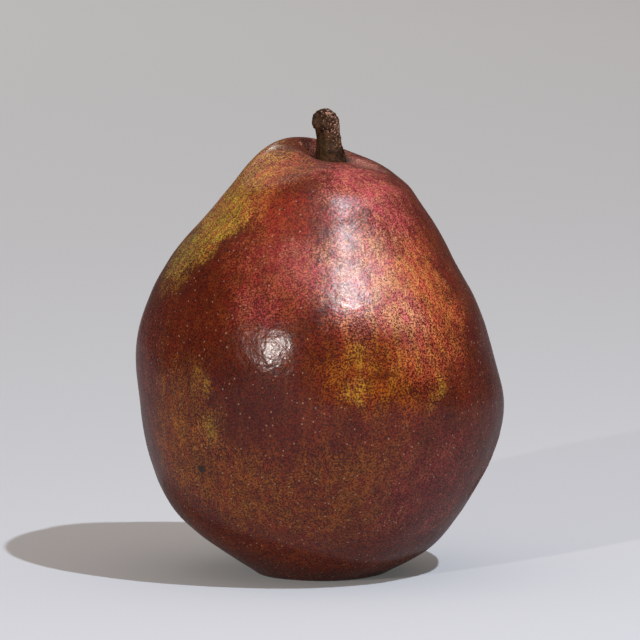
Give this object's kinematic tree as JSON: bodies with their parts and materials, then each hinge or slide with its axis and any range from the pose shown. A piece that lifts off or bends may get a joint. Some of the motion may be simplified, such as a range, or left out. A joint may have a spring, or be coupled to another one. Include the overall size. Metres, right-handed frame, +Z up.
{
  "type": "pear",
  "caption": "Squat red-skinned pear standing on its calyx end, with a short thick woody stem in a lopsided crown and a dried calyx in the shallow basin underneath.",
  "frame": {"origin": "on the surface the pear stands on, under the middle of its bounding box", "axes": "+Z up from the calyx end to the stem, +X towards the low side of the crown, +Y towards the back"},
  "size_m": [0.0762, 0.0752, 0.0962],
  "materials": {
    "red_skin": "waxy satin skin, red blush over yellow-green, dotted with fine lenticels",
    "bark": "rough dry bark",
    "dried_calyx": "dry papery brown"
  },
  "bodies": {
    "root": {"fruit": "red_skin", "stem": "bark", "sepal_1": "dried_calyx", "sepal_2": "dried_calyx", "sepal_3": "dried_calyx", "sepal_4": "dried_calyx", "sepal_5": "dried_calyx", "stamen_tuft": "dried_calyx"}
  },
  "joints": []
}
